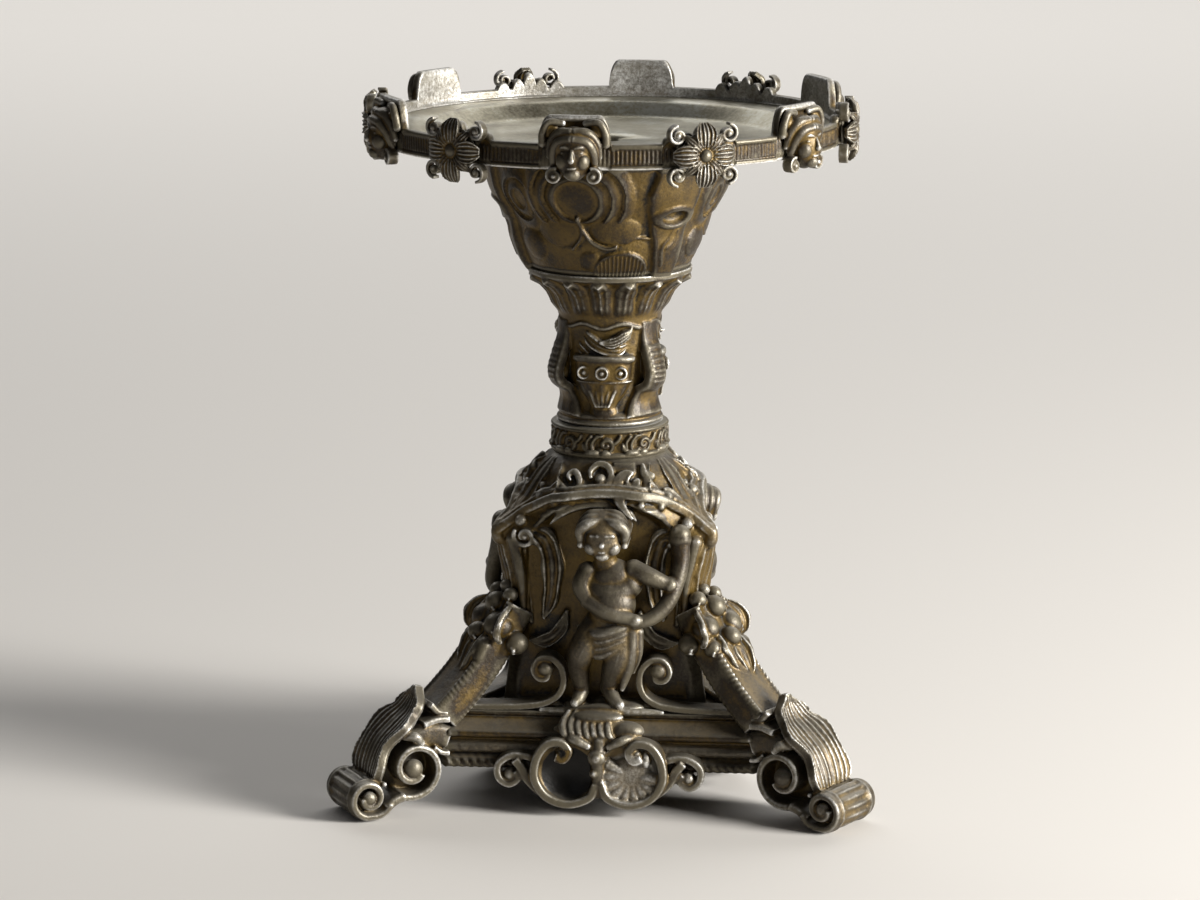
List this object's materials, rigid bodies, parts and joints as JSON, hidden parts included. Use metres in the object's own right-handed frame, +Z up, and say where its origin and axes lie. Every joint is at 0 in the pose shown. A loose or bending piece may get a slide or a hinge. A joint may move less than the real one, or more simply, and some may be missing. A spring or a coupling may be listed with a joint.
{
  "type": "candle stand",
  "caption": "Ornate cast-metal candle stand on scroll feet, with child figures in the niches of its pedestal, a waisted stem, a bell cup and a shallow dish with a gallery of masks.",
  "frame": {"origin": "on the central axis, in the plane of the table", "axes": "+Z up along the tie rod; the front panel faces -Y; one foot points along +Y"},
  "size_m": [0.2018, 0.2028, 0.26],
  "materials": {
    "patinated_bronze": "dark brown patina, edges worn pale",
    "worn_dish": "smooth, worn grey-yellow",
    "dark_steel": "dull, oxidised"
  },
  "bodies": {
    "root": {"plinth": "patinated_bronze", "pedestal_body": "patinated_bronze", "frieze_collar": "patinated_bronze", "stem": "patinated_bronze", "cup": "patinated_bronze", "gallery": "patinated_bronze", "dish": "worn_dish", "scroll_foot_right": "patinated_bronze", "buttress_right": "patinated_bronze", "scroll_foot_rear": "patinated_bronze", "buttress_rear": "patinated_bronze", "scroll_foot_left": "patinated_bronze", "buttress_left": "patinated_bronze", "apron_front": "patinated_bronze", "panel_scrolls_front": "patinated_bronze", "child_figure_front": "patinated_bronze", "apron_right": "patinated_bronze", "panel_scrolls_right": "patinated_bronze", "child_figure_right": "patinated_bronze", "apron_left": "patinated_bronze", "panel_scrolls_left": "patinated_bronze", "child_figure_left": "patinated_bronze", "mask_1": "patinated_bronze", "rosette_1": "patinated_bronze", "mask_2": "patinated_bronze", "rosette_2": "patinated_bronze", "mask_3": "patinated_bronze", "rosette_3": "patinated_bronze", "mask_4": "patinated_bronze", "rosette_4": "patinated_bronze", "mask_5": "patinated_bronze", "rosette_5": "patinated_bronze", "mask_6": "patinated_bronze", "rosette_6": "patinated_bronze", "tie_rod": "dark_steel", "base_washer": "dark_steel", "base_nut": "dark_steel", "foot_screws": "dark_steel", "apron_screws": "dark_steel", "figure_screws": "dark_steel"}
  },
  "joints": []
}
